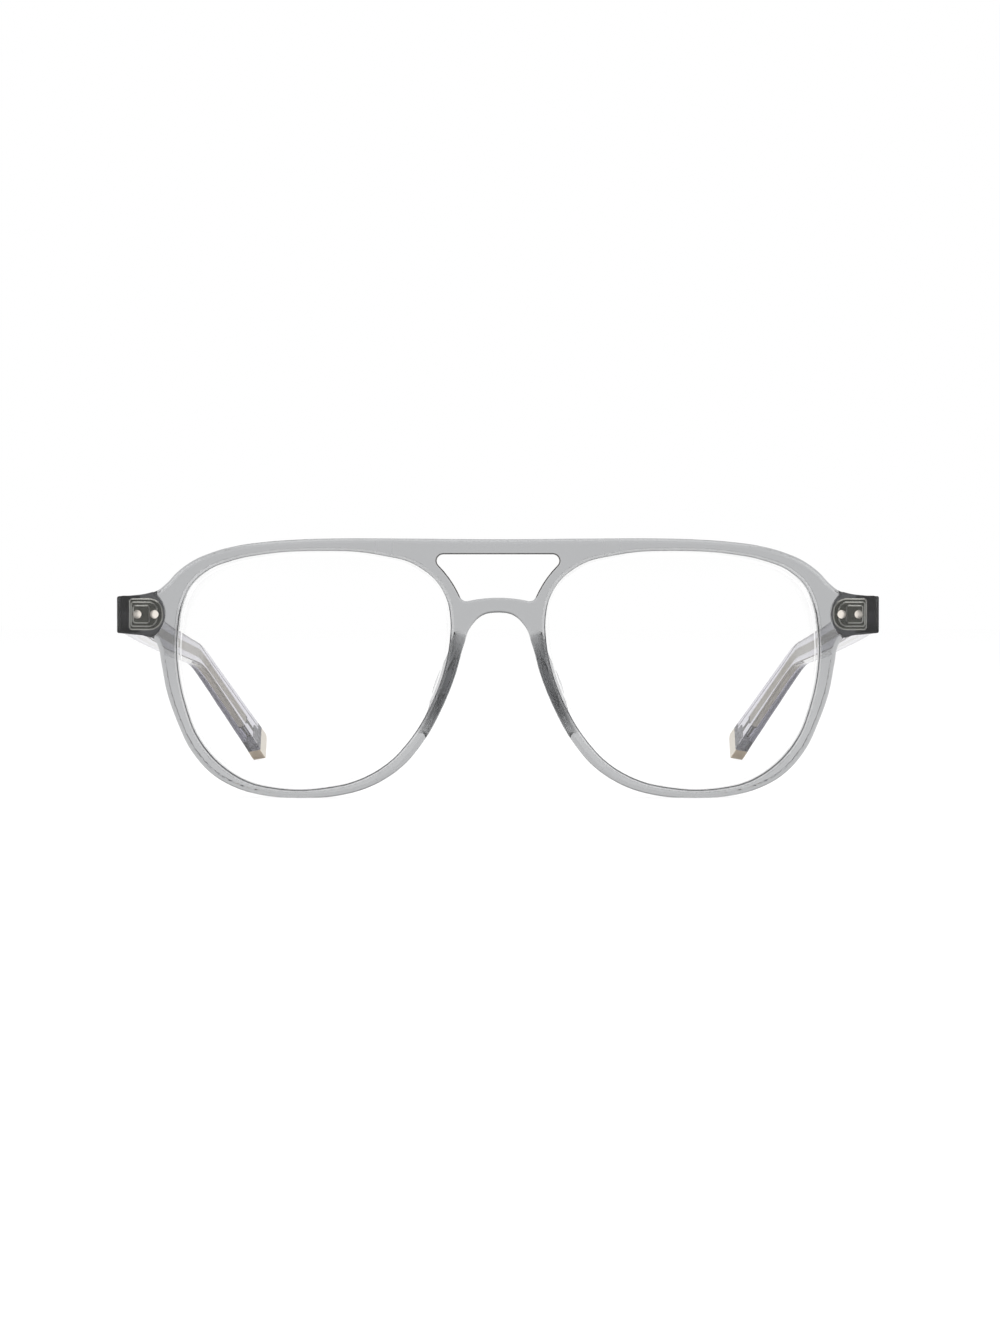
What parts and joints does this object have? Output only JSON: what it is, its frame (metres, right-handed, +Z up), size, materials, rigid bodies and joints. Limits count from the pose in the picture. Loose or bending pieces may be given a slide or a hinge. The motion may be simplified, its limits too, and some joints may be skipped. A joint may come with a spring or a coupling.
{
  "type": "double bridge glasses",
  "caption": "Optical glasses with a transparent grey acetate front, a brow bar over a keyhole-like window, clear lenses and folding wire-core temples with metal tips.",
  "frame": {"origin": "on the floor, under the middle of the whole object with both temples open", "axes": "+X to the wearer's left, +Y back along the temples from the front towards the ears, +Z up"},
  "size_m": [0.1438, 0.1396, 0.0485],
  "materials": {
    "front_acetate": "polished",
    "temple_acetate": "polished",
    "lens": "polished",
    "hinge_metal": "satin",
    "rivet_metal": "polished",
    "core_metal": "satin",
    "cap_metal": "satin"
  },
  "bodies": {
    "front": {"front": "front_acetate", "lens_left": "lens", "lens_right": "lens", "front_hinge_left": "hinge_metal", "front_hinge_right": "hinge_metal", "front_rivet_inner_left": "rivet_metal", "front_rivet_inner_right": "rivet_metal", "front_rivet_outer_left": "rivet_metal", "front_rivet_outer_right": "rivet_metal", "hinge_screw_left": "hinge_metal", "hinge_screw_right": "hinge_metal"},
    "temple_left": {"temple_left": "temple_acetate", "temple_hinge_left": "hinge_metal", "temple_rivet_fore_left": "rivet_metal", "temple_rivet_aft_left": "rivet_metal", "core_wire_left": "core_metal", "tip_cap_left": "cap_metal"},
    "temple_right": {"temple_right": "temple_acetate", "temple_hinge_right": "hinge_metal", "temple_rivet_fore_right": "rivet_metal", "temple_rivet_aft_right": "rivet_metal", "core_wire_right": "core_metal", "tip_cap_right": "cap_metal"}
  },
  "joints": [
    {"name": "fold_left", "type": "hinge", "parent": "front", "child": "temple_left", "pos_m": [0.0663, -0.0554, 0.0343], "axis": [0, 0, 1], "range_deg": [0, 86]},
    {"name": "fold_right", "type": "hinge", "parent": "front", "child": "temple_right", "pos_m": [-0.0663, -0.0554, 0.0343], "axis": [0, 0, -1], "range_deg": [0, 79]}
  ]
}
